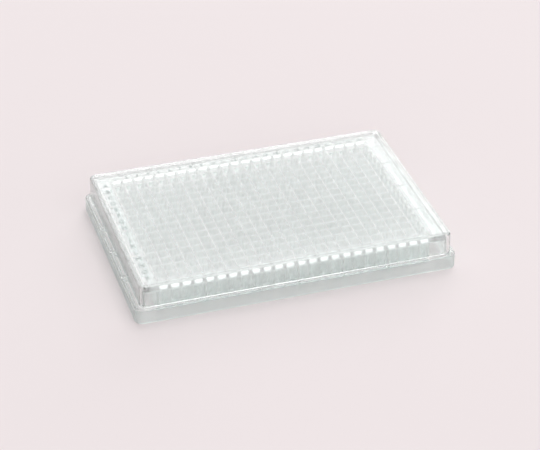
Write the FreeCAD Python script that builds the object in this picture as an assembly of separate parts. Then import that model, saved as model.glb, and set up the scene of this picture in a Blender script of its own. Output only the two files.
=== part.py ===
import FreeCAD, Part
import math
import os

# A 384-well laboratory plate with its loose lid. Lengths are in millimetres and angles in degrees.
# X runs along the columns of wells, Y along the rows and Z up. The origin is the centre of the
# footprint, on the surface that the plate stands on.
# Sizes build outwards from the wells: well block, deck, rim, ledge, and the lid round the rim.
# With the values below the footprint comes to 127.76 x 85.48, the standard outline of such plates.

# Wells
WELL_COLUMNS = 24
WELL_ROWS = 16
WELL_PITCH = 4.5
WELL_OPENING = 3.65
WELL_DRAFT = 0.9
WELL_DEPTH = 11.3

# Well block
BLOCK_WALL = 0.75
FLOOR_THICKNESS = 0.8
FLOOR_ABOVE_GROUND = 1.5

# Deck and rim round the well block
DECK_WIDTH_AT_ENDS = 4.975
DECK_WIDTH_AT_SIDES = 3.175
DECK_THICKNESS = 1.1
DECK_BELOW_WELLS = 0.4
RIM_WIDTH = 1.1
RIM_ABOVE_WELLS = 0.6
RIM_CORNER_RADIUS = 1.6

# Skirt, with the ledge on top of it
LEDGE_WIDTH_AT_ENDS = 3.48
LEDGE_WIDTH_AT_SIDES = 2.14
LEDGE_THICKNESS = 1.1
SKIRT_HEIGHT = 6.1
SKIRT_WALL = 1.2
SKIRT_CORNER_RADIUS = 3.18
LEDGE_EDGE_RADIUS = 0.6

# Webs under the deck, which tie the well block to the skirt
WEB_THICKNESS = 0.9
WEB_ABOVE_GROUND = 2.6
WELLS_BETWEEN_WEBS = 4

# Lid
LID_WALL = 1.15
LID_CLEARANCE = 0.35
LID_ABOVE_LEDGE = 0.4
LID_EDGE_RADIUS = 0.6
LID_RIDGE_THICKNESS = 0.9
LID_PANEL_THICKNESS = 0.8
LID_PANEL_DROP = 0.3
LID_PANEL_CLEARANCE = 0.3
LID_STEP_WIDTH = 0.5

# The moulding draft of the rim's outside and of the lid, which are parallel
SIDE_DRAFT = 0.7

# Heights
well_floor = FLOOR_ABOVE_GROUND + FLOOR_THICKNESS
block_top = well_floor + WELL_DEPTH
deck_top = block_top - DECK_BELOW_WELLS
deck_underside = deck_top - DECK_THICKNESS
rim_top = block_top + RIM_ABOVE_WELLS
ledge_underside = SKIRT_HEIGHT - LEDGE_THICKNESS
lid_bottom = SKIRT_HEIGHT + LID_ABOVE_LEDGE
lid_top = rim_top + LID_RIDGE_THICKNESS
panel_underside = rim_top - LID_PANEL_DROP
panel_top = panel_underside + LID_PANEL_THICKNESS

# Lengths along X and widths along Y
block_length = (WELL_COLUMNS - 1) * WELL_PITCH + WELL_OPENING + 2 * BLOCK_WALL
block_width = (WELL_ROWS - 1) * WELL_PITCH + WELL_OPENING + 2 * BLOCK_WALL
deck_length = block_length + 2 * DECK_WIDTH_AT_ENDS
deck_width = block_width + 2 * DECK_WIDTH_AT_SIDES
rim_length = deck_length + 2 * RIM_WIDTH
rim_width = deck_width + 2 * RIM_WIDTH
skirt_length = rim_length + 2 * LEDGE_WIDTH_AT_ENDS
skirt_width = rim_width + 2 * LEDGE_WIDTH_AT_SIDES
panel_length = deck_length - 2 * LID_PANEL_CLEARANCE
panel_width = deck_width - 2 * LID_PANEL_CLEARANCE

UP = FreeCAD.Vector(0, 0, 1)
QUARTER_TURN = 90
MIN_CORNER_RADIUS = 0.2


def rounded_outline(length, width, radius, height):
    """A level rectangle with round corners, centred on the Z axis."""
    across = length / 2 - radius
    along = width / 2 - radius
    centres = [(across, along), (-across, along), (-across, -along), (across, -along)]
    arcs = []
    for turn, (x, y) in enumerate(centres):
        start = turn * QUARTER_TURN
        centre = FreeCAD.Vector(x, y, height)
        arcs.append(Part.makeCircle(radius, centre, UP, start, start + QUARTER_TURN))
    edges = []
    for arc, following in zip(arcs, arcs[1:] + arcs[:1]):
        edges.append(arc)
        edges.append(Part.makeLine(arc.Vertexes[-1].Point, following.Vertexes[0].Point))
    return Part.Wire(edges)


def rounded_prism(length, width, radius, bottom, top):
    """An upright block with round corners."""
    face = Part.Face(rounded_outline(length, width, radius, bottom))
    return face.extrude(UP * (top - bottom))


def drafted_prism(length, width, radius, bottom, top):
    """A block with round corners that narrows upwards by SIDE_DRAFT. Its size is taken at the ledge."""
    outlines = []
    for height in (bottom, top):
        inset = (height - SKIRT_HEIGHT) * math.tan(math.radians(SIDE_DRAFT))
        corner = max(radius - inset, MIN_CORNER_RADIUS)
        outlines.append(rounded_outline(length - 2 * inset, width - 2 * inset, corner, height))
    return Part.makeLoft(outlines, True, True)


def grid_places(count, pitch):
    """Evenly spaced places, centred on zero."""
    return [(index - (count - 1) / 2) * pitch for index in range(count)]


def round_level_edges(solid, height, radius):
    """Rounds the edges that lie at one height all the way along."""
    level = [
        edge
        for edge in solid.Edges
        if all(math.isclose(vertex.Z, height, abs_tol=1e-6) for vertex in edge.Vertexes)
    ]
    return solid.makeFillet(radius, level)


def well_pocket(x, y):
    """The space inside one well: a square pocket that narrows to its floor."""
    narrowing = WELL_DEPTH * math.tan(math.radians(WELL_DRAFT))
    outlines = []
    for height, side in ((well_floor, WELL_OPENING - 2 * narrowing), (block_top, WELL_OPENING)):
        half = side / 2
        corners = [
            FreeCAD.Vector(x - half, y - half, height),
            FreeCAD.Vector(x + half, y - half, height),
            FreeCAD.Vector(x + half, y + half, height),
            FreeCAD.Vector(x - half, y + half, height),
        ]
        outlines.append(corners)
    floor, mouth = outlines
    faces = [Part.Face(Part.makePolygon(outline + outline[:1])) for outline in outlines]
    for index in range(4):
        following = (index + 1) % 4
        wall = [floor[index], floor[following], mouth[following], mouth[index], floor[index]]
        faces.append(Part.Face(Part.makePolygon(wall)))
    return Part.Solid(Part.Shell(faces))


def well_block():
    """The solid block of wells with its one continuous flat bottom."""
    block = Part.makeBox(
        block_length,
        block_width,
        block_top - FLOOR_ABOVE_GROUND,
        FreeCAD.Vector(-block_length / 2, -block_width / 2, FLOOR_ABOVE_GROUND),
    )
    pockets = [
        well_pocket(x, y)
        for x in grid_places(WELL_COLUMNS, WELL_PITCH)
        for y in grid_places(WELL_ROWS, WELL_PITCH)
    ]
    return block.cut(Part.makeCompound(pockets))


def skirt():
    """The outer wall that the plate stands on, closed at its top by the ledge."""
    outside = rounded_prism(skirt_length, skirt_width, SKIRT_CORNER_RADIUS, 0, SKIRT_HEIGHT)
    outside = round_level_edges(outside, SKIRT_HEIGHT, LEDGE_EDGE_RADIUS)
    inner_radius = max(SKIRT_CORNER_RADIUS - SKIRT_WALL, MIN_CORNER_RADIUS)
    inside = rounded_prism(
        skirt_length - 2 * SKIRT_WALL, skirt_width - 2 * SKIRT_WALL, inner_radius, 0, ledge_underside
    )
    return outside.cut(inside)


def rim():
    """The raised wall round the deck, from the ledge up to where the lid rests."""
    return drafted_prism(rim_length, rim_width, RIM_CORNER_RADIUS, ledge_underside, rim_top)


def deck_opening(bottom, top):
    """The space inside the rim between two heights."""
    radius = max(RIM_CORNER_RADIUS - RIM_WIDTH, MIN_CORNER_RADIUS)
    return rounded_prism(deck_length, deck_width, radius, bottom, top)


def web(reach_to_rim, reach_to_skirt):
    """One upright web that runs out along +X from the middle of its side of the well block."""
    profile = [
        FreeCAD.Vector(0, 0, WEB_ABOVE_GROUND),
        FreeCAD.Vector(reach_to_skirt, 0, WEB_ABOVE_GROUND),
        FreeCAD.Vector(reach_to_skirt, 0, ledge_underside),
        FreeCAD.Vector(reach_to_rim, 0, ledge_underside),
        FreeCAD.Vector(reach_to_rim, 0, deck_underside),
        FreeCAD.Vector(0, 0, deck_underside),
        FreeCAD.Vector(0, 0, WEB_ABOVE_GROUND),
    ]
    plate_of_web = Part.Face(Part.makePolygon(profile)).extrude(FreeCAD.Vector(0, WEB_THICKNESS, 0))
    plate_of_web.translate(FreeCAD.Vector(0, -WEB_THICKNESS / 2, 0))
    return plate_of_web


def webs():
    """All webs, which stand in line with the walls between wells."""
    ends = web(DECK_WIDTH_AT_ENDS, DECK_WIDTH_AT_ENDS + RIM_WIDTH + LEDGE_WIDTH_AT_ENDS - SKIRT_WALL)
    sides = web(DECK_WIDTH_AT_SIDES, DECK_WIDTH_AT_SIDES + RIM_WIDTH + LEDGE_WIDTH_AT_SIDES - SKIRT_WALL)
    spacing = WELLS_BETWEEN_WEBS * WELL_PITCH
    runs = [
        (ends, block_length / 2, 0, WELL_ROWS),
        (sides, block_width / 2, QUARTER_TURN, WELL_COLUMNS),
    ]
    placed = []
    for shape, distance, turn, wells in runs:
        count = max(wells // WELLS_BETWEEN_WEBS - 1, 1)
        for place in grid_places(count, spacing):
            for half_turn in (0, 2 * QUARTER_TURN):
                copy = shape.copy()
                copy.translate(FreeCAD.Vector(distance, place, 0))
                copy.rotate(FreeCAD.Vector(0, 0, 0), UP, turn + half_turn)
                placed.append(copy)
    return placed


def build_plate():
    """The whole plate, which is one moulding."""
    shell = skirt().fuse(rim())
    shell = shell.cut(deck_opening(ledge_underside, deck_underside))
    shell = shell.cut(deck_opening(deck_top, rim_top))
    core = Part.makeBox(
        block_length,
        block_width,
        rim_top,
        FreeCAD.Vector(-block_length / 2, -block_width / 2, 0),
    )
    shell = shell.cut(core)
    return shell.fuse([well_block()] + webs()).removeSplitter()


def build_lid():
    """The whole lid: a shallow cover with a raised stacking ridge round a sunken panel."""
    outer_radius = RIM_CORNER_RADIUS + LID_CLEARANCE + LID_WALL
    lid = drafted_prism(
        rim_length + 2 * (LID_CLEARANCE + LID_WALL),
        rim_width + 2 * (LID_CLEARANCE + LID_WALL),
        outer_radius,
        lid_bottom,
        lid_top,
    )
    lid = round_level_edges(lid, lid_top, LID_EDGE_RADIUS)
    hollow = drafted_prism(
        rim_length + 2 * LID_CLEARANCE,
        rim_width + 2 * LID_CLEARANCE,
        RIM_CORNER_RADIUS + LID_CLEARANCE,
        lid_bottom,
        rim_top,
    )
    corner = max(RIM_CORNER_RADIUS - RIM_WIDTH, MIN_CORNER_RADIUS)
    sunken_face = rounded_prism(
        panel_length + 2 * LID_STEP_WIDTH,
        panel_width + 2 * LID_STEP_WIDTH,
        corner + LID_STEP_WIDTH,
        panel_top,
        lid_top,
    )
    panel = rounded_prism(panel_length, panel_width, corner, panel_underside, panel_top)
    return lid.cut(hollow).cut(sunken_face).fuse(panel).removeSplitter()


os.makedirs("parts", exist_ok=True)
build_plate().exportStep("parts/plate.step")
build_lid().exportStep("parts/lid.step")
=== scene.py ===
"""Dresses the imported 384-well plate and its lid as clear polystyrene, on a plain pale floor."""
import logging
import math
from dataclasses import dataclass, field, replace
from enum import Enum
from itertools import product

import bmesh
import bpy
from mathutils import Matrix, Vector


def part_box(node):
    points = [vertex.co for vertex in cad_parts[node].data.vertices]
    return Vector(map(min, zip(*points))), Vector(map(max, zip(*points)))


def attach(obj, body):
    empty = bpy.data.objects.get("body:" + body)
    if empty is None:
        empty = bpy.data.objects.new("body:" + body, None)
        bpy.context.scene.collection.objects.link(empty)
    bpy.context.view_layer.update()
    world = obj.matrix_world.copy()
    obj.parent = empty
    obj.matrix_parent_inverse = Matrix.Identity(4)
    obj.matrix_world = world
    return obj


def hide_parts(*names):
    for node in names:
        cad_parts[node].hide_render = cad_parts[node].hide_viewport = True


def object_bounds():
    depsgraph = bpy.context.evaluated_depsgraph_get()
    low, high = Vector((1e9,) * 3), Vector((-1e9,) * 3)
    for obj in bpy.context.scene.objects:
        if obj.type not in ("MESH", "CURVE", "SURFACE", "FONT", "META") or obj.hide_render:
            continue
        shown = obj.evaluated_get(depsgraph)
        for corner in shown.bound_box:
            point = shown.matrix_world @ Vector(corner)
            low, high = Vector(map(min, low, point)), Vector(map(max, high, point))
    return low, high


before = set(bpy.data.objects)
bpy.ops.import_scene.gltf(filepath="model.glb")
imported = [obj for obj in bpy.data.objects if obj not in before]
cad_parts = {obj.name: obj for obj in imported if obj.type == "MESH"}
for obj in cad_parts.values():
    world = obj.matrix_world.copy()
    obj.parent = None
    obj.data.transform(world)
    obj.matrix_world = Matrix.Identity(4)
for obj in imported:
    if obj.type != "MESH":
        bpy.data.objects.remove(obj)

LOG = logging.getLogger("well_plate")

MM = 0.001
QUARTER_TURN = math.radians(90)
SHARP_EDGE_ANGLE = math.radians(32)
WELD_DISTANCE = 0.002 * MM
MIN_PLAN_RADIUS = 0.05 * MM
PLAN_CORNER_STEPS = 10
SECTION_EASE_STEPS = 4
BODY = "root"

CAD_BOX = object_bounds()


# ---------------------------------------------------------------------------------------------
# Mesh helpers
# ---------------------------------------------------------------------------------------------


@dataclass(frozen=True)
class Corner:
    """One corner of the section that runs round a rounded rectangle.

    Attributes:
        across: half of the rectangle's length along X at this corner.
        along: half of its width along Y.
        turn: the plan radius of the rectangle's own corners.
        height: where the corner lies along Z.
        ease: the radius that rounds this corner of the section.
    """

    across: float
    along: float
    turn: float
    height: float
    ease: float = 0.0

    def shifted(self, outward: float, rise: float) -> "Corner":
        """Returns the same corner moved in the plane of the section."""
        turn = max(self.turn + outward, MIN_PLAN_RADIUS)
        return Corner(self.across + outward, self.along + outward, turn, self.height + rise)


def rounded_rectangle(corner: Corner, steps: int = PLAN_CORNER_STEPS) -> list[Vector]:
    """Gives the points of a level rectangle with round corners.

    Args:
        corner: the rectangle's half sizes, plan radius and height.
        steps: how many chords each round corner has.

    Returns:
        The points in order, counter-clockwise seen from above.
    """
    x = corner.across - corner.turn
    y = corner.along - corner.turn
    points = []
    for quarter, (sign_x, sign_y) in enumerate(((1, 1), (-1, 1), (-1, -1), (1, -1))):
        for step in range(steps + 1):
            angle = QUARTER_TURN * (quarter + step / steps)
            point_x = sign_x * x + corner.turn * math.cos(angle)
            point_y = sign_y * y + corner.turn * math.sin(angle)
            points.append(Vector((point_x, point_y, corner.height)))
    return points


def eased_section(section: list[Corner], steps: int = SECTION_EASE_STEPS) -> list[Corner]:
    """Rounds the corners of a section that ask for it.

    Args:
        section: the corners in order.
        steps: how many chords each rounding has.

    Returns:
        The section with each eased corner replaced by the points of its arc.
    """
    out = []
    for index, here in enumerate(section):
        if not here.ease or index in (0, len(section) - 1):
            out.append(here)
            continue
        before = section_direction(here, section[index - 1])
        after = section_direction(here, section[index + 1])
        half_angle = before.angle(after) / 2
        setback = here.ease / math.tan(half_angle)
        centre = (before + after).normalized() * (here.ease / math.sin(half_angle))
        start = before * setback - centre
        end = after * setback - centre
        sweep = start.angle(end)
        for step in range(steps + 1):
            share = step / steps
            spoke = start * (math.sin((1 - share) * sweep) / math.sin(sweep))
            spoke = spoke + end * (math.sin(share * sweep) / math.sin(sweep))
            out.append(here.shifted(*(centre + spoke)))
    return out


def section_direction(here: Corner, there: Corner) -> Vector:
    """Returns the unit direction from one corner to another, as (outward, up)."""
    return Vector((there.across - here.across, there.height - here.height)).normalized()


def skin_section(mesh: bmesh.types.BMesh, section: list[Corner]) -> list[list[bmesh.types.BMVert]]:
    """Sweeps a section round its rectangle.

    Args:
        mesh: the mesh that gets the faces.
        section: the corners from its top edge, over the outside, to its bottom edge.

    Returns:
        The loops of vertices, one for each corner of the section.
    """
    loops = [[mesh.verts.new(point) for point in rounded_rectangle(corner)] for corner in section]
    for upper, lower in zip(loops, loops[1:]):
        count = len(upper)
        for index in range(count):
            following = (index + 1) % count
            mesh.faces.new((upper[index], lower[index], lower[following], upper[following]))
    return loops


def half_size(node: str) -> Vector:
    """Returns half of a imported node's length, width and height."""
    low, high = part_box(node)
    return (Vector(high) - Vector(low)) / 2


def finish_mesh(mesh: bmesh.types.BMesh, name: str) -> bpy.types.Object:
    """Closes the work on a mesh and makes an object of it.

    Args:
        mesh: the finished faces. It is freed.
        name: the object's name.

    Returns:
        The object, linked to the scene, with smooth faces and sharp creases.
    """
    bmesh.ops.remove_doubles(mesh, verts=mesh.verts, dist=WELD_DISTANCE)
    bmesh.ops.recalc_face_normals(mesh, faces=mesh.faces)
    for face in mesh.faces:
        face.smooth = True
    for edge in mesh.edges:
        edge.smooth = len(edge.link_faces) == 2 and edge.calc_face_angle(0) < SHARP_EDGE_ANGLE
    data = bpy.data.meshes.new(name)
    mesh.to_mesh(data)
    mesh.free()
    thing = bpy.data.objects.new(name, data)
    bpy.context.scene.collection.objects.link(thing)
    return thing


def settle(thing: bpy.types.Object, material: bpy.types.Material, slot: str, *nodes: str) -> None:
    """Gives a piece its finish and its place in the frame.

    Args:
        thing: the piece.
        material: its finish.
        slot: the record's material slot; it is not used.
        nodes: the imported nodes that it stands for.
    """
    thing.data.materials.clear()
    thing.data.materials.append(material)
    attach(thing, BODY)
    if nodes:
        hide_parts(*nodes)
    LOG.info("%s: %d faces", thing.name, len(thing.data.polygons))


# ---------------------------------------------------------------------------------------------
# Shader node groups and finishes
# ---------------------------------------------------------------------------------------------


class Socket(Enum):
    """The kinds of socket that the node groups use."""

    NUMBER = "NodeSocketFloat"
    COLOUR = "NodeSocketColor"


class Blend(Enum):
    """What a mix node blends."""

    NUMBERS = "FLOAT"
    COLOURS = "RGBA"


class Maths(Enum):
    """What a maths node works out."""

    ABSOLUTE = "ABSOLUTE"
    DIVIDE = "DIVIDE"
    MAXIMUM = "MAXIMUM"
    MULTIPLY = "MULTIPLY"
    MULTIPLY_ADD = "MULTIPLY_ADD"
    POWER = "POWER"


# What an input can be given: a socket to link to, or a plain value.
Feed = bpy.types.NodeSocket | float | tuple[float, ...]


def feed(tree: bpy.types.NodeTree, term: Feed, socket: bpy.types.NodeSocket) -> None:
    """Links a socket to an input, or gives the input a plain value.

    Args:
        tree: the tree that both sockets are in.
        term: the socket or the value.
        socket: the input.
    """
    if isinstance(term, bpy.types.NodeSocket):
        tree.links.new(term, socket)
    else:
        socket.default_value = term


def maths(tree: bpy.types.NodeTree, operation: Maths, *terms: Feed) -> bpy.types.NodeSocket:
    """Adds a maths node.

    Args:
        tree: the tree that gets the node.
        operation: what the node works out.
        terms: what it works with.

    Returns:
        The socket with the result.
    """
    node = tree.nodes.new("ShaderNodeMath")
    node.operation = operation.value
    for term, socket in zip(terms, node.inputs):
        feed(tree, term, socket)
    return node.outputs["Value"]


def mapped(
    tree: bpy.types.NodeTree,
    value: bpy.types.NodeSocket,
    limits: tuple[float, float],
    results: tuple[Feed, Feed] = (0.0, 1.0),
) -> bpy.types.NodeSocket:
    """Adds a node that maps a value from one range to another.

    Args:
        tree: the tree that gets the node.
        value: the value.
        limits: the ends of its range. A value past them counts as the nearer end.
        results: what the two ends become.

    Returns:
        The socket with the result.
    """
    node = tree.nodes.new("ShaderNodeMapRange")
    node.inputs["From Min"].default_value, node.inputs["From Max"].default_value = limits
    for name, term in (("Value", value), ("To Min", results[0]), ("To Max", results[1])):
        feed(tree, term, node.inputs[name])
    return node.outputs["Result"]


def blended(
    tree: bpy.types.NodeTree, kind: Blend, share: bpy.types.NodeSocket, first: Feed, second: Feed
) -> bpy.types.NodeSocket:
    """Adds a node that blends two values.

    Args:
        tree: the tree that gets the node.
        kind: whether the values are numbers or colours.
        share: how much of the second value there is.
        first: the first value.
        second: the second value.

    Returns:
        The socket with the blend.
    """
    node = tree.nodes.new("ShaderNodeMix")
    node.data_type = kind.value
    for name, term in (("Factor", share), ("A", first), ("B", second)):
        feed(tree, term, node.inputs[name])
    return node.outputs["Result"]


def noise(
    tree: bpy.types.NodeTree,
    place: bpy.types.NodeSocket,
    scale: Feed,
    detail: float = 2.0,
    grain: float = 0.5,
    distortion: float = 0.0,
) -> bpy.types.NodeSocket:
    """Adds a noise texture.

    Args:
        tree: the tree that gets the node.
        place: where on the piece the texture is read.
        scale: how closely its marks follow one another.
        detail: how many finer layers it has.
        grain: how strong the finer layers are.
        distortion: how much its marks are twisted.

    Returns:
        The socket with the texture's value.
    """
    node = tree.nodes.new("ShaderNodeTexNoise")
    tree.links.new(place, node.inputs["Vector"])
    feed(tree, scale, node.inputs["Scale"])
    node.inputs["Detail"].default_value = detail
    node.inputs["Roughness"].default_value = grain
    node.inputs["Distortion"].default_value = distortion
    return node.outputs["Fac"]


class MouldedSurface:
    """A node group with the marks that moulding and handling leave on clear plastic, and a darker tint
    on the outer walls that is partly painted shade.
    """

    NAME = "moulded surface"
    # The walls' mask gives the outer walls their satin roughness and their darker wall tint, which is
    # partly painted shade.
    # The walls' mask starts at EDGE_SHARE of the piece's half size and is full EDGE_BLEND further out.
    # A face is no wall while its normal's Z is over the first of UPRIGHT_LIMITS, and wholly a wall
    # when it is under the second.
    EDGE_SHARE = 0.975
    EDGE_BLEND = 0.005
    UPRIGHT_LIMITS = (0.35, 0.1)
    FLOW_DISTORTION = 0.6
    SCUFF_DETAIL = 5.0
    SCUFF_GRAIN = 0.65
    SCUFF_LIMITS = (0.35, 0.7)
    INPUTS = (
        ("Tint", Socket.COLOUR, (0.9, 0.95, 0.94, 1.0)),
        ("Deep Tint", Socket.COLOUR, (0.85, 0.93, 0.91, 1.0)),
        ("Wall Tint And Shade", Socket.COLOUR, (0.85, 0.9, 0.89, 1.0)),
        ("Flow Scale", Socket.NUMBER, 40.0),
        ("Scuff Scale", Socket.NUMBER, 900.0),
        ("Least Roughness", Socket.NUMBER, 0.02),
        ("Most Roughness", Socket.NUMBER, 0.08),
        ("Satin Roughness", Socket.NUMBER, 0.3),
        ("Half Length", Socket.NUMBER, 0.06),
        ("Half Width", Socket.NUMBER, 0.04),
    )
    OUTPUTS = (
        ("Colour", Socket.COLOUR),
        ("Roughness", Socket.NUMBER),
        ("Height", Socket.NUMBER),
        ("Walls", Socket.NUMBER),
    )

    def __init__(self) -> None:
        """Builds the group."""
        self.tree = bpy.data.node_groups.new(self.NAME, "ShaderNodeTree")
        for name, kind, default in self.INPUTS:
            socket = self.tree.interface.new_socket(name, in_out="INPUT", socket_type=kind.value)
            socket.default_value = default
        for name, kind in self.OUTPUTS:
            self.tree.interface.new_socket(name, in_out="OUTPUT", socket_type=kind.value)
        self._wire()

    def _wire(self) -> None:
        """Wires flow marks into the tint and the height, fine scuffs into the roughness, and the outer
        walls' mask into the satin roughness and the wall tint, which is partly painted shade.
        """
        tree = self.tree
        source = tree.nodes.new("NodeGroupInput")
        sink = tree.nodes.new("NodeGroupOutput")
        texture = tree.nodes.new("ShaderNodeTexCoord")
        place = texture.outputs["Object"]
        given = source.outputs
        flow = noise(tree, place, given["Flow Scale"], distortion=self.FLOW_DISTORTION)
        tint = blended(tree, Blend.COLOURS, flow, given["Tint"], given["Deep Tint"])
        walls = self._outer_walls(texture, source)
        # Partly painted shade: the outer walls pass the darker wall tint.
        colour = blended(tree, Blend.COLOURS, walls, tint, given["Wall Tint And Shade"])
        scuffs = noise(tree, place, given["Scuff Scale"], self.SCUFF_DETAIL, self.SCUFF_GRAIN)
        polish = (given["Least Roughness"], given["Most Roughness"])
        wear = mapped(tree, scuffs, self.SCUFF_LIMITS, polish)
        roughness = blended(tree, Blend.NUMBERS, walls, wear, given["Satin Roughness"])
        results = (colour, roughness, flow, walls)
        for (name, _), result in zip(self.OUTPUTS, results):
            tree.links.new(result, sink.inputs[name])

    def _outer_walls(self, texture: bpy.types.Node, source: bpy.types.Node) -> bpy.types.NodeSocket:
        """Builds a mask of the upright faces that lie near the outline.

        Args:
            texture: the group's texture coordinates.
            source: the group's input node.

        Returns:
            The socket with the mask, 1 on the outer walls and 0 elsewhere.
        """
        tree = self.tree
        where = tree.nodes.new("ShaderNodeSeparateXYZ")
        tree.links.new(texture.outputs["Object"], where.inputs["Vector"])
        facing = tree.nodes.new("ShaderNodeSeparateXYZ")
        tree.links.new(texture.outputs["Normal"], facing.inputs["Vector"])
        shares = []
        for axis, half in (("X", "Half Length"), ("Y", "Half Width")):
            from_centre = maths(tree, Maths.ABSOLUTE, where.outputs[axis])
            shares.append(maths(tree, Maths.DIVIDE, from_centre, source.outputs[half]))
        edge_limits = (self.EDGE_SHARE, self.EDGE_SHARE + self.EDGE_BLEND)
        edge = mapped(tree, maths(tree, Maths.MAXIMUM, *shares), edge_limits)
        slope = maths(tree, Maths.ABSOLUTE, facing.outputs["Z"])
        upright = mapped(tree, slope, self.UPRIGHT_LIMITS)
        return maths(tree, Maths.MULTIPLY, edge, upright)


@dataclass(frozen=True)
class ClearPlastic:
    """Clear polystyrene, with a satin texture on its outer walls, which are darkened with painted
    shade, most where they are seen edge-on.

    Attributes:
        name: the material's name.
        tint: the colour that it passes.
        deep_tint: the colour that it passes along flow marks.
        wall_tint_and_shade: the colour that its satin outer walls pass: partly the light that the
            satin loses, partly painted shade.
        slant_shade: the colour that they pass at a slant: painted shade, far darker than the longer
            way through them would make it.
        polish: the least and the most roughness.
        waviness: how deep the flow marks are, in metres.
        satin: the roughness of the outer walls, which are moulded with a fine texture.
        index: the index of refraction.
        flow_scale: how closely the flow marks follow one another.
        slant_range: the least and the full slant for the slant shade, from 0 square on to 1 edge on.
    """

    name: str
    tint: tuple[float, float, float]
    deep_tint: tuple[float, float, float]
    wall_tint_and_shade: tuple[float, float, float]
    slant_shade: tuple[float, float, float]
    polish: tuple[float, float] = (0.02, 0.08)
    waviness: float = 0.02 * MM
    satin: float = 0.42
    index: float = 1.59
    flow_scale: float = 45.0
    slant_range: tuple[float, float] = (0.45, 0.75)

    def material(self, surface: MouldedSurface, half: Vector) -> bpy.types.Material:
        """Builds the material.

        Args:
            surface: the shared group of moulding marks.
            half: half of the piece's length, width and height.

        Returns:
            The material.
        """
        made = bpy.data.materials.new(self.name)
        made.use_nodes = True
        tree = made.node_tree
        tree.nodes.clear()
        marks = tree.nodes.new("ShaderNodeGroup")
        marks.node_tree = surface.tree
        for name, value in self.marks_inputs(half).items():
            marks.inputs[name].default_value = value
        # Painted shade: the outer walls turn to the slant shade as they are seen more nearly edge-on.
        view = tree.nodes.new("ShaderNodeLayerWeight")
        slant = mapped(tree, view.outputs["Facing"], self.slant_range)
        share = maths(tree, Maths.MULTIPLY, slant, marks.outputs["Walls"])
        slant_shade_colour = (*self.slant_shade, 1.0)
        colour = blended(tree, Blend.COLOURS, share, marks.outputs["Colour"], slant_shade_colour)
        bump = tree.nodes.new("ShaderNodeBump")
        bump.inputs["Distance"].default_value = self.waviness
        tree.links.new(marks.outputs["Height"], bump.inputs["Height"])
        plastic = tree.nodes.new("ShaderNodeBsdfPrincipled")
        plastic.inputs["Transmission Weight"].default_value = 1.0
        plastic.inputs["IOR"].default_value = self.index
        tree.links.new(colour, plastic.inputs["Base Color"])
        tree.links.new(marks.outputs["Roughness"], plastic.inputs["Roughness"])
        tree.links.new(bump.outputs["Normal"], plastic.inputs["Normal"])
        out = tree.nodes.new("ShaderNodeOutputMaterial")
        tree.links.new(plastic.outputs["BSDF"], out.inputs["Surface"])
        return made

    def marks_inputs(self, half: Vector) -> dict[str, Feed]:
        """Sets out what the group of moulding marks is given.

        Args:
            half: half of the piece's length, width and height.

        Returns:
            The value of each input, by its name.
        """
        return {
            "Tint": (*self.tint, 1.0),
            "Deep Tint": (*self.deep_tint, 1.0),
            "Wall Tint And Shade": (*self.wall_tint_and_shade, 1.0),
            "Flow Scale": self.flow_scale,
            "Least Roughness": self.polish[0],
            "Most Roughness": self.polish[1],
            "Satin Roughness": self.satin,
            "Half Length": half.x,
            "Half Width": half.y,
        }


PLATE_PLASTIC = ClearPlastic(
    name="plate polystyrene",
    tint=(0.978, 1.0, 0.996),
    deep_tint=(0.966, 0.997, 0.991),
    # Partly painted shade: the outer walls pass a darker colour than the satin alone would give.
    wall_tint_and_shade=(0.8, 0.868, 0.85),
    # Painted shade on the outer walls seen edge-on.
    slant_shade=(0.76, 0.81, 0.8),
)
# Painted shade: the raised marks are the plate's own clear plastic, darkened to stand in for the light
# that their edges bend away.
SHADED_MARKS_PLASTIC = replace(
    PLATE_PLASTIC,
    name="marks polystyrene with painted shade",
    tint=(0.46, 0.51, 0.5),
    deep_tint=(0.42, 0.47, 0.46),
    polish=(0.45, 0.6),
)
LID_PLASTIC = ClearPlastic(
    name="lid polystyrene",
    tint=(0.983, 1.0, 0.997),
    deep_tint=(0.973, 0.998, 0.993),
    wall_tint_and_shade=(0.985, 1.0, 0.995),
    # Painted shade on the lid's walls seen edge-on.
    slant_shade=(0.66, 0.7, 0.69),
    satin=0.22,
)


# ---------------------------------------------------------------------------------------------
# The plate and the lid
# ---------------------------------------------------------------------------------------------


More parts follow.
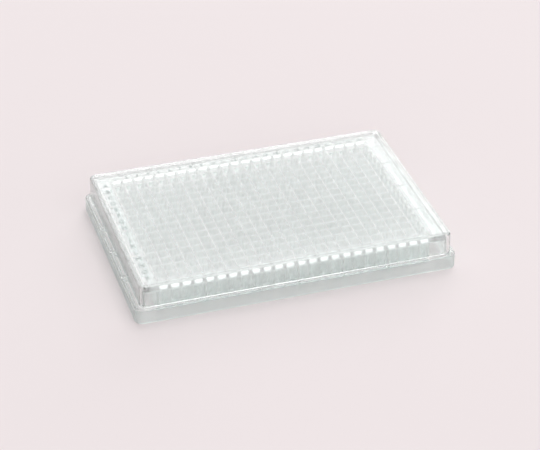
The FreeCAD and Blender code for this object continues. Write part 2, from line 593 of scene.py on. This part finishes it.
@dataclass
class WellGrid:
    """The top of the well block: the wells and the grid of walls between them.

    Attributes:
        columns: how many wells stand along X.
        rows: how many wells stand along Y.
        pitch: the distance from one well to the next.
        opening: how wide a well is near its mouth, under the eased edge.
        depth: how deep a well is.
        draft: how much each of its walls leans.
        mouth_ease: the radius that rounds the edge of its mouth.
        floor_ease: the radius that rounds the edge of its floor.
        mouth_radius: the radius of its four upright corners at the mouth.
        floor_radius: the radius of the same corners at the floor.
        corner_steps: how many chords each upright corner has.
        ease_steps: how many chords each eased edge has.
    """

    columns: int = 24
    rows: int = 16
    pitch: float = 4.5 * MM
    opening: float = 3.65 * MM
    depth: float = 11.3 * MM
    draft: float = math.radians(0.9)
    mouth_ease: float = 0.16 * MM
    floor_ease: float = 0.3 * MM
    mouth_radius: float = 0.55 * MM
    floor_radius: float = 0.4 * MM
    corner_steps: int = 4
    ease_steps: int = 3

    @property
    def half_length(self) -> float:
        """Half of the grid's length along X."""
        return self.columns * self.pitch / 2

    @property
    def half_width(self) -> float:
        """Half of the grid's width along Y."""
        return self.rows * self.pitch / 2

    def rings(self) -> list[tuple[float, float, float]]:
        """Works out the rings that one well is made of.

        Returns:
            The half side, corner radius and depth of each ring, from the mouth down.
        """
        half = self.opening / 2
        floor_half = half - self.depth * math.tan(self.draft)
        found = []
        for step in range(self.ease_steps + 1):
            angle = QUARTER_TURN * step / self.ease_steps
            outward = self.mouth_ease * (1 - math.sin(angle))
            down = self.mouth_ease * (1 - math.cos(angle))
            found.append((half + outward, self.mouth_radius + outward, down))
        for step in range(self.ease_steps + 1):
            angle = QUARTER_TURN * step / self.ease_steps
            inward = self.floor_ease * (1 - math.cos(angle))
            up = self.floor_ease * (1 - math.sin(angle))
            radius = max(self.floor_radius - inward, MIN_PLAN_RADIUS)
            found.append((floor_half - inward, radius, self.depth - up))
        return found

    def cell_edge(self) -> list[tuple[float, float]]:
        """Works out the points on one cell's square edge that match a ring's points.

        Returns:
            The points about the cell's centre.
        """
        half = self.pitch / 2
        straight = self.opening / 2 - self.mouth_radius
        middle = self.corner_steps // 2
        first = []
        for step in range(self.corner_steps + 1):
            share = min(step, self.corner_steps - step) / middle
            inner = straight + (half - straight) * share
            first.append((half, inner) if step <= middle else (inner, half))
        points = []
        for quarter in range(4):
            for x, y in first:
                for _ in range(quarter):
                    x, y = -y, x
                points.append((x, y))
        return points

    def add_well(self, mesh: bmesh.types.BMesh, x: float, y: float, top: float) -> None:
        """Adds one cell of the grid with its well.

        Args:
            mesh: the mesh that gets the faces.
            x: the well's centre along X.
            y: the well's centre along Y.
            top: the height of the block's top.
        """
        loops = [[mesh.verts.new((x + dx, y + dy, top)) for dx, dy in self.cell_edge()]]
        for half, radius, down in self.rings():
            ring = rounded_rectangle(Corner(half, half, radius, top - down), self.corner_steps)
            loops.append([mesh.verts.new((point.x + x, point.y + y, point.z)) for point in ring])
        for outer, inner in zip(loops, loops[1:]):
            count = len(outer)
            for index in range(count):
                following = (index + 1) % count
                mesh.faces.new((outer[index], outer[following], inner[following], inner[index]))
        mesh.faces.new(loops[-1])

    def build(self, mesh: bmesh.types.BMesh, top: float) -> None:
        """Adds all the wells.

        Args:
            mesh: the mesh that gets the faces.
            top: the height of the block's top.
        """
        for column in range(self.columns):
            for row in range(self.rows):
                x = (column - (self.columns - 1) / 2) * self.pitch
                y = (row - (self.rows - 1) / 2) * self.pitch
                self.add_well(mesh, x, y, top)


@dataclass
class Plate:
    """The plate: skirt, ledge, rim, deck, well block and webs, all one moulding.

    Attributes:
        wells: the wells.
        block_wall: the wall round the outermost wells.
        floor_thickness: the floor under the wells.
        deck_at_ends: how wide the deck is at the two short sides.
        deck_at_sides: how wide it is at the two long sides.
        deck_thickness: how thick the deck is.
        deck_below_wells: how far the deck lies below the wells' mouths.
        rim_width: how wide the rim round the deck is.
        rim_above_wells: how far the rim stands above the wells' mouths.
        rim_radius: the plan radius of the rim's corners.
        skirt_height: how high the ledge is above the ground.
        skirt_wall: how thick the skirt is.
        skirt_radius: the plan radius of the skirt's corners.
        ledge_thickness: how thick the ledge is.
        ledge_ease: the radius that rounds the ledge's outer edge.
        web_thickness: how thick the webs under the deck are.
        web_above_ground: how far the webs end above the ground.
        web_bite: how far the webs reach into what they join.
        wells_between_webs: how many wells lie between one web and the next.
        side_draft: how much the outside of the rim and the lid lean.
        block_radius: the plan radius of the block's corners.
        soft: the radius that rounds the softer corners of the section.
        crisp: the radius that rounds its sharper corners.
    """

    wells: WellGrid = field(default_factory=WellGrid)
    block_wall: float = 0.75 * MM
    floor_thickness: float = 0.8 * MM
    deck_at_ends: float = 4.975 * MM
    deck_at_sides: float = 3.175 * MM
    deck_thickness: float = 1.1 * MM
    deck_below_wells: float = 0.4 * MM
    rim_width: float = 1.1 * MM
    rim_above_wells: float = 0.6 * MM
    rim_radius: float = 1.6 * MM
    skirt_height: float = 6.1 * MM
    skirt_wall: float = 1.2 * MM
    skirt_radius: float = 3.18 * MM
    ledge_thickness: float = 1.1 * MM
    ledge_ease: float = 0.6 * MM
    web_thickness: float = 0.9 * MM
    web_above_ground: float = 2.6 * MM
    web_bite: float = 0.3 * MM
    wells_between_webs: int = 4
    side_draft: float = math.radians(0.7)
    block_radius: float = 0.5 * MM
    soft: float = 0.25 * MM
    crisp: float = 0.12 * MM

    def __post_init__(self) -> None:
        """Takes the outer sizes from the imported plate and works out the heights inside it."""
        low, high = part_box("plate")
        self.skirt_across = (high.x - low.x) / 2
        self.skirt_along = (high.y - low.y) / 2
        self.ground = low.z
        self.rim_top = high.z
        self.block_top = self.rim_top - self.rim_above_wells
        self.deck_top = self.block_top - self.deck_below_wells
        self.deck_underside = self.deck_top - self.deck_thickness
        self.block_bottom = self.block_top - self.wells.depth - self.floor_thickness
        self.ledge_top = self.ground + self.skirt_height
        self.ledge_underside = self.ledge_top - self.ledge_thickness
        span_x = (self.wells.columns - 1) * self.wells.pitch + self.wells.opening
        span_y = (self.wells.rows - 1) * self.wells.pitch + self.wells.opening
        self.block_across = span_x / 2 + self.block_wall
        self.block_along = span_y / 2 + self.block_wall
        self.deck_across = self.block_across + self.deck_at_ends
        self.deck_along = self.block_along + self.deck_at_sides

    def section(self) -> list[Corner]:
        """Works out the section that runs round the well block.

        Returns:
            The corners from the block's top edge, over the outside, to the block's bottom edge.
        """
        lean = (self.rim_top - self.ledge_top) * math.tan(self.side_draft)
        rim_across = self.deck_across + self.rim_width
        rim_along = self.deck_along + self.rim_width
        deck_turn = self.rim_radius - self.rim_width
        block = (self.block_across, self.block_along, self.block_radius)
        deck = (self.deck_across, self.deck_along, deck_turn)
        skirt = (self.skirt_across, self.skirt_along, self.skirt_radius)
        inner = (
            self.skirt_across - self.skirt_wall,
            self.skirt_along - self.skirt_wall,
            self.skirt_radius - self.skirt_wall,
        )
        rim_base = (rim_across, rim_along, self.rim_radius)
        rim_head = (rim_across - lean, rim_along - lean, self.rim_radius - lean)
        return [
            Corner(*block, self.block_top),
            Corner(*block, self.deck_top, self.crisp),
            Corner(*deck, self.deck_top, self.soft),
            Corner(*deck, self.rim_top, self.crisp),
            Corner(*rim_head, self.rim_top, self.crisp),
            Corner(*rim_base, self.ledge_top, self.soft),
            Corner(*skirt, self.ledge_top, self.ledge_ease),
            Corner(*skirt, self.ground, self.crisp),
            Corner(*inner, self.ground, self.crisp),
            Corner(*inner, self.ledge_underside, self.soft),
            Corner(*deck, self.ledge_underside, self.soft),
            Corner(*deck, self.deck_underside, self.soft),
            Corner(*block, self.deck_underside, self.soft),
            Corner(*block, self.block_bottom),
        ]

    def web_places(self, wells: int) -> list[float]:
        """Works out where the webs stand along a side.

        Args:
            wells: how many wells lie along the side.

        Returns:
            The webs' places along it, from its middle.
        """
        count = wells // self.wells_between_webs - 1
        spacing = self.wells_between_webs * self.wells.pitch
        return [(index - (count - 1) / 2) * spacing for index in range(count)]

    def web_boxes(self) -> list[tuple[Vector, Vector]]:
        """Works out the webs, each reaching a little into what it joins.

        Returns:
            The low and the high corner of each upright box.
        """
        half = self.web_thickness / 2
        foot = self.ground + self.web_above_ground
        inner_across = self.skirt_across - self.skirt_wall
        inner_along = self.skirt_along - self.skirt_wall
        boxes = []
        for turned, wells, near, rim, skirt in (
            (False, self.wells.rows, self.block_across, self.deck_across, inner_across),
            (True, self.wells.columns, self.block_along, self.deck_along, inner_along),
        ):
            lower = (foot, self.ledge_underside + self.web_bite, skirt)
            upper = (self.ledge_underside, self.deck_underside + self.web_bite, rim)
            for place, part, sign in product(self.web_places(wells), (lower, upper), (1, -1)):
                bottom, top, reach = part
                start, end = sorted((sign * (near - self.web_bite), sign * (reach + self.web_bite)))
                low = Vector((start, place - half, bottom))
                high = Vector((end, place + half, top))
                if turned:
                    low.x, low.y = low.y, low.x
                    high.x, high.y = high.y, high.x
                boxes.append((low, high))
        return boxes

    def build_shell(self) -> bpy.types.Object:
        """Sweeps the section round the block and joins the webs on.

        Returns:
            The plate without its wells, closed over their mouths.
        """
        mesh = bmesh.new()
        loops = skin_section(mesh, eased_section(self.section()))
        mesh.faces.new(loops[0])
        mesh.faces.new(list(reversed(loops[-1])))
        shell = finish_mesh(mesh, "plate_shell")
        tool = bmesh.new()
        for low, high in self.web_boxes():
            made = bmesh.ops.create_cube(tool, size=1.0)
            for vert in made["verts"]:
                for axis in range(3):
                    vert.co[axis] = low[axis] if vert.co[axis] < 0 else high[axis]
        webs = finish_mesh(tool, "plate_webs")
        joined = shell.modifiers.new("webs", "BOOLEAN")
        joined.operation = "UNION"
        joined.solver = "EXACT"
        joined.use_self = True
        joined.object = webs
        bpy.context.view_layer.update()
        graph = bpy.context.evaluated_depsgraph_get()
        result = bpy.data.meshes.new_from_object(shell.evaluated_get(graph))
        shell.modifiers.clear()
        shell.data = result
        bpy.data.objects.remove(webs)
        return shell

    def build(self) -> bpy.types.Object:
        """Opens the shell's top and sets the wells into it.

        Returns:
            The whole plate as one closed mesh.
        """
        shell = self.build_shell()
        mesh = bmesh.new()
        mesh.from_mesh(shell.data)
        bpy.data.objects.remove(shell)
        tops = [
            face
            for face in mesh.faces
            if all(abs(vert.co.z - self.block_top) < WELD_DISTANCE for vert in face.verts)
        ]
        bmesh.ops.delete(mesh, geom=tops, context="FACES_ONLY")
        self.wells.build(mesh, self.block_top)
        bmesh.ops.remove_doubles(mesh, verts=mesh.verts, dist=WELD_DISTANCE)
        open_edges = [edge for edge in mesh.edges if edge.is_boundary]
        bmesh.ops.triangle_fill(mesh, use_beauty=True, use_dissolve=False, edges=open_edges)
        return finish_mesh(mesh, "plate_moulding")


@dataclass
class IndexMarks:
    """The raised letters that name the rows, and the raised numbers that name the columns.

    Attributes:
        plate: the plate that carries the marks.
        letter_height: how tall the letters are.
        number_height: how tall the numbers are.
        relief: how far the marks are raised.
        edge_ease: the radius that rounds their edges.
        lift: the gap under them, which keeps two faces from lying in one place.
        curve_steps: how many chords each curve of a mark has.
        capital_share: a capital's height as a share of the type's size.
    """

    plate: Plate
    letter_height: float = 2.2 * MM
    number_height: float = 1.8 * MM
    relief: float = 0.2 * MM
    edge_ease: float = 0.03 * MM
    lift: float = 0.01 * MM
    curve_steps: int = 3
    capital_share: float = 0.69

    def glyph_mesh(self, text: str, height: float) -> bpy.types.Mesh:
        """Makes one letter or number, centred on the origin.

        Args:
            text: what it says.
            height: how tall its capitals are.

        Returns:
            The mesh, raised by the relief.
        """
        curve = bpy.data.curves.new(text, "FONT")
        curve.body = text
        curve.size = height / self.capital_share
        curve.align_x = "CENTER"
        curve.align_y = "CENTER"
        curve.extrude = self.relief / 2 - self.edge_ease
        curve.bevel_depth = self.edge_ease
        curve.resolution_u = self.curve_steps
        holder = bpy.data.objects.new(text, curve)
        made = bpy.data.meshes.new_from_object(holder)
        bpy.data.objects.remove(holder)
        bpy.data.curves.remove(curve)
        return made

    def places(self) -> list[tuple[str, float, float, float]]:
        """Sets out the marks, letters along the left end and numbers along the back.

        Returns:
            What each mark says, how tall it is, and where it stands along X and Y.
        """
        wells = self.plate.wells
        left = -(self.plate.block_across + self.plate.deck_at_ends / 2)
        back = self.plate.block_along + self.plate.deck_at_sides / 2
        marks = []
        for row in range(wells.rows):
            y = ((wells.rows - 1) / 2 - row) * wells.pitch
            marks.append((chr(ord("A") + row), self.letter_height, left, y))
        for column in range(wells.columns):
            x = (column - (wells.columns - 1) / 2) * wells.pitch
            marks.append((str(column + 1), self.number_height, x, back))
        return marks

    def build(self) -> bpy.types.Object:
        """Sets all the marks on the deck.

        Returns:
            The marks as one object.
        """
        mesh = bmesh.new()
        height = self.plate.deck_top + self.lift + self.relief / 2
        for text, size, x, y in self.places():
            glyph = self.glyph_mesh(text, size)
            glyph.transform(Matrix.Translation((x, y, height)))
            mesh.from_mesh(glyph)
            bpy.data.meshes.remove(glyph)
        bmesh.ops.remove_doubles(mesh, verts=mesh.verts, dist=WELD_DISTANCE)
        bmesh.ops.dissolve_degenerate(mesh, dist=WELD_DISTANCE, edges=mesh.edges)
        return finish_mesh(mesh, "index_marks")


@dataclass
class Lid:
    """The lid: a shallow cover with a raised ridge round a sunken panel.

    Attributes:
        plate: the plate that the lid lies on.
        wall: how thick its side walls are.
        clearance: the gap between its side walls and the plate's rim.
        edge_ease: the radius that rounds its upper outer edge.
        panel_thickness: how thick the panel is.
        panel_drop: how far the panel reaches down inside the rim.
        panel_clearance: the gap between the panel and the rim's inside.
        step_width: how far from the panel's underside edge the slope up to the ridge starts.
        step_slope: how wide that slope is.
        contact_gap: the gap over the rim, which keeps two faces from lying in one place.
        soft: the radius that rounds most corners of the section.
        crisp: the radius that rounds the corner between the ridge's underside and the panel's side.
    """

    plate: Plate
    wall: float = 1.15 * MM
    clearance: float = 0.35 * MM
    edge_ease: float = 0.6 * MM
    panel_thickness: float = 0.8 * MM
    panel_drop: float = 0.3 * MM
    panel_clearance: float = 0.3 * MM
    step_width: float = 0.1 * MM
    step_slope: float = 0.9 * MM
    contact_gap: float = 0.03 * MM
    soft: float = 0.2 * MM
    crisp: float = 0.1 * MM

    def section(self) -> list[Corner]:
        """Works out the section that runs round the panel.

        Returns:
            The corners from the panel's top edge, over the outside, to its lower edge.
        """
        low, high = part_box("lid")
        plate = self.plate
        lean = math.tan(plate.side_draft)
        turn = plate.rim_radius - plate.rim_width

        def outline(grow: float, height: float) -> tuple[float, float, float]:
            """Returns the rim's drafted outline, grown outwards."""
            change = plate.rim_width + grow - (height - plate.ledge_top) * lean
            return plate.deck_across + change, plate.deck_along + change, turn + change

        panel = (
            plate.deck_across - self.panel_clearance,
            plate.deck_along - self.panel_clearance,
            turn,
        )

        def step(grow: float) -> tuple[float, float, float]:
            """Returns the panel's outline, grown outwards."""
            return panel[0] + grow, panel[1] + grow, turn + grow

        panel_underside = plate.rim_top - self.panel_drop
        panel_top = panel_underside + self.panel_thickness
        seat = plate.rim_top + self.contact_gap
        whole = self.clearance + self.wall
        return [
            Corner(*step(self.step_width - self.soft), panel_top),
            Corner(*step(self.step_width), panel_top),
            Corner(*step(self.step_width + self.step_slope), high.z, self.soft),
            Corner(*outline(whole, high.z), high.z, self.edge_ease),
            Corner(*outline(whole, low.z), low.z, self.soft),
            Corner(*outline(self.clearance, low.z), low.z, self.soft),
            Corner(*outline(self.clearance, seat), seat, self.soft),
            Corner(*panel, seat, self.crisp),
            Corner(*panel, panel_underside),
        ]

    def build(self) -> bpy.types.Object:
        """Sweeps the section round the panel and closes it.

        Returns:
            The lid as one closed mesh.
        """
        mesh = bmesh.new()
        loops = skin_section(mesh, eased_section(self.section()))
        mesh.faces.new(loops[0])
        mesh.faces.new(list(reversed(loops[-1])))
        return finish_mesh(mesh, "lid_moulding")


# ---------------------------------------------------------------------------------------------
# The studio
# ---------------------------------------------------------------------------------------------


@dataclass(frozen=True)
class SoftLamp:
    """A square soft lamp that faces the plate.

    Attributes:
        name: the lamp's name.
        heading: the direction from the plate to the lamp.
        side: the length of its square face's side, in metres.
        brightness: the radiance of its face, where 1 renders as white.
        distance: how far from the plate it hangs, in metres.
    """

    name: str
    heading: tuple[float, float, float]
    side: float
    brightness: float
    distance: float = 2.6

    def hang(self) -> None:
        """Hangs the lamp."""
        data = bpy.data.lights.new(self.name, "AREA")
        data.size = self.side
        data.energy = self.brightness * math.pi * self.side**2
        lamp = bpy.data.objects.new(self.name, data)
        lamp.location = Vector(self.heading).normalized() * self.distance
        lamp.rotation_euler = (-lamp.location).to_track_quat("-Z", "Y").to_euler()
        bpy.context.scene.collection.objects.link(lamp)


STUDIO_LAMPS = (
    SoftLamp("overhead lamp", heading=(0.25, 0.2, 0.95), side=1.0, brightness=3.25),
    SoftLamp("back right lamp", heading=(0.57, 0.8, 0.28), side=1.0, brightness=2.6),
)


@dataclass(frozen=True)
class SkyGlow:
    """A soft glow in the sky.

    Attributes:
        heading: the direction from the plate to the middle of the glow.
        level: the radiance in its middle, where 1 renders as white.
        focus: how narrow it is: the power of the cosine of the angle from its middle.
    """

    heading: tuple[float, float, float]
    level: float
    focus: float = 2.0

    def add(
        self, tree: bpy.types.NodeTree, direction: bpy.types.NodeSocket, light: Feed
    ) -> bpy.types.NodeSocket:
        """Adds the glow to the light that the sky has so far.

        Args:
            tree: the world's tree.
            direction: the direction in which the sky is seen.
            light: the light so far.

        Returns:
            The socket with the light and the glow together.
        """
        towards = tree.nodes.new("ShaderNodeVectorMath")
        towards.operation = "DOT_PRODUCT"
        towards.inputs[1].default_value = Vector(self.heading).normalized()
        tree.links.new(direction, towards.inputs[0])
        near_side = maths(tree, Maths.MAXIMUM, towards.outputs["Value"], 0.0)
        glow = maths(tree, Maths.POWER, near_side, self.focus)
        return maths(tree, Maths.MULTIPLY_ADD, glow, self.level, light)


SKY_GLOWS = (
    SkyGlow(heading=(0.25, 0.8, 0.55), level=1.17, focus=14.0),
    SkyGlow(heading=(0.0, 0.7, 0.9), level=0.8, focus=8.0),
    SkyGlow(heading=(0.0, -1.0, 0.3), level=1.36),
    SkyGlow(heading=(1.0, 0.0, 0.3), level=0.31),
    SkyGlow(heading=(-1.0, 0.0, 0.3), level=0.2),
    SkyGlow(heading=(0.0, 0.0, 1.0), level=0.53),
)


@dataclass(frozen=True)
class FloorPaper:
    """Plain matt paper, with faint clouds in its colour and a fine tooth.

    Attributes:
        colour: the paper's colour.
        cloud_depth: how much darker the clouds are, as a share of the colour.
        cloud_scale: how closely the clouds follow one another.
        tooth_scale: how closely the grains of the tooth follow one another.
        tooth_depth: how deep the tooth is, in metres.
        roughness: how matt the paper is.
        shine: how strongly it reflects, where 0.5 is common for plastics.
    """

    colour: tuple[float, float, float]
    cloud_depth: float = 0.012
    cloud_scale: float = 9.0
    tooth_scale: float = 2500.0
    tooth_depth: float = 0.01 * MM
    roughness: float = 0.9
    shine: float = 0.1

    def material(self) -> bpy.types.Material:
        """Builds the material.

        Returns:
            The material.
        """
        made = bpy.data.materials.new("floor paper")
        made.use_nodes = True
        tree = made.node_tree
        place = tree.nodes.new("ShaderNodeTexCoord").outputs["Object"]
        light = [part * (1 + self.cloud_depth / 2) for part in self.colour]
        dark = [part * (1 - self.cloud_depth / 2) for part in self.colour]
        clouds = noise(tree, place, self.cloud_scale)
        colour = blended(tree, Blend.COLOURS, clouds, (*light, 1.0), (*dark, 1.0))
        bump = tree.nodes.new("ShaderNodeBump")
        bump.inputs["Distance"].default_value = self.tooth_depth
        tree.links.new(noise(tree, place, self.tooth_scale), bump.inputs["Height"])
        paper = tree.nodes["Principled BSDF"]
        paper.inputs["Roughness"].default_value = self.roughness
        paper.inputs["Specular IOR Level"].default_value = self.shine
        tree.links.new(colour, paper.inputs["Base Color"])
        tree.links.new(bump.outputs["Normal"], paper.inputs["Normal"])
        return made


@dataclass
class Studio:
    """The floor, the soft light and the camera.

    Attributes:
        floor_colour: the floor's colour.
        floor_size: the length of the floor's side, in metres.
        floor_gap: how far the floor lies below the plate, so that no two faces lie in one place.
        azimuth: how far the camera stands round from the front, to the right.
        elevation: how high it stands over the plate.
        distance: how far it stands from where it looks.
        aim_height: how high over the ground it looks.
        lens: its focal length, in millimetres.
        shift: how far the picture is shifted, in widths of the picture.
        light_bounces: how often light is followed on from one surface to the next.
        clear_bounces: how often of these through clear plastic.
        gloss_bounces: how often of these off glossy surfaces.
        matt_bounces: how often of these off matt surfaces.
    """

    floor_colour: tuple[float, float, float] = (0.845, 0.772, 0.780)
    floor_size: float = 6.0
    floor_gap: float = 0.05 * MM
    azimuth: float = math.radians(-17.35)
    elevation: float = math.radians(33.07)
    distance: float = 787.5 * MM
    aim_height: float = 8.0 * MM
    lens: float = 133.1
    shift: tuple[float, float] = (0.0068703704, -0.0104259259)
    light_bounces: int = 48
    clear_bounces: int = 40
    gloss_bounces: int = 24
    matt_bounces: int = 4

    def build_floor(self) -> None:
        """Makes the plain pale floor, wide enough to fill the picture."""
        mesh = bmesh.new()
        bmesh.ops.create_grid(mesh, x_segments=1, y_segments=1, size=self.floor_size / 2)
        floor = finish_mesh(mesh, "floor")
        floor.location.z = CAD_BOX[0][2] - self.floor_gap
        floor.data.materials.append(FloorPaper(self.floor_colour).material())

    def build_sky(self) -> None:
        """Lights the scene from all round, most from the front and the back."""
        world = bpy.data.worlds.new("soft light")
        world.use_nodes = True
        tree = world.node_tree
        direction = tree.nodes.new("ShaderNodeTexCoord").outputs["Generated"]
        light = 0.0
        for glow in SKY_GLOWS:
            light = glow.add(tree, direction, light)
        sky = tree.nodes["Background"]
        sky.inputs["Color"].default_value = (1.0, 1.0, 1.0, 1.0)
        tree.links.new(light, sky.inputs["Strength"])
        # The rays that bend through the plastic find the sky, so it isn't sampled as a lamp too.
        world.cycles.sampling_method = "NONE"
        bpy.context.scene.world = world

    def build_camera(self) -> None:
        """Sets the camera to look down over the plate's front left corner."""
        back = Vector(
            (
                math.sin(self.azimuth) * math.cos(self.elevation),
                -math.cos(self.azimuth) * math.cos(self.elevation),
                math.sin(self.elevation),
            )
        )
        data = bpy.data.cameras.new("camera")
        data.lens = self.lens
        data.shift_x, data.shift_y = self.shift
        camera = bpy.data.objects.new("camera", data)
        camera.location = Vector((0, 0, self.aim_height)) + back * self.distance
        camera.rotation_euler = (-back).to_track_quat("-Z", "Y").to_euler()
        bpy.context.scene.collection.objects.link(camera)
        bpy.context.scene.camera = camera

    def build(self) -> None:
        """Makes the whole studio, and sets how far light is followed."""
        self.build_floor()
        for lamp in STUDIO_LAMPS:
            lamp.hang()
        self.build_sky()
        self.build_camera()
        scene = bpy.context.scene
        scene.view_settings.view_transform = "Standard"
        scene.cycles.max_bounces = self.light_bounces
        scene.cycles.transmission_bounces = self.clear_bounces
        scene.cycles.glossy_bounces = self.gloss_bounces
        scene.cycles.diffuse_bounces = self.matt_bounces
        scene.cycles.blur_glossy = 0.0


def main() -> None:
    """Builds the plate, the lid and the studio in order."""
    logging.basicConfig(level=logging.INFO, format="%(name)s: %(message)s")
    surface = MouldedSurface()
    plate = Plate()
    plate_finish = PLATE_PLASTIC.material(surface, half_size("plate"))
    shaded_marks_finish = SHADED_MARKS_PLASTIC.material(surface, half_size("plate"))
    lid_finish = LID_PLASTIC.material(surface, half_size("lid"))
    settle(plate.build(), plate_finish, "plate_plastic", "plate")
    settle(IndexMarks(plate).build(), shaded_marks_finish, "plate_plastic")
    settle(Lid(plate).build(), lid_finish, "lid_plastic", "lid")
    Studio().build()


if __name__ == "__main__":
    main()
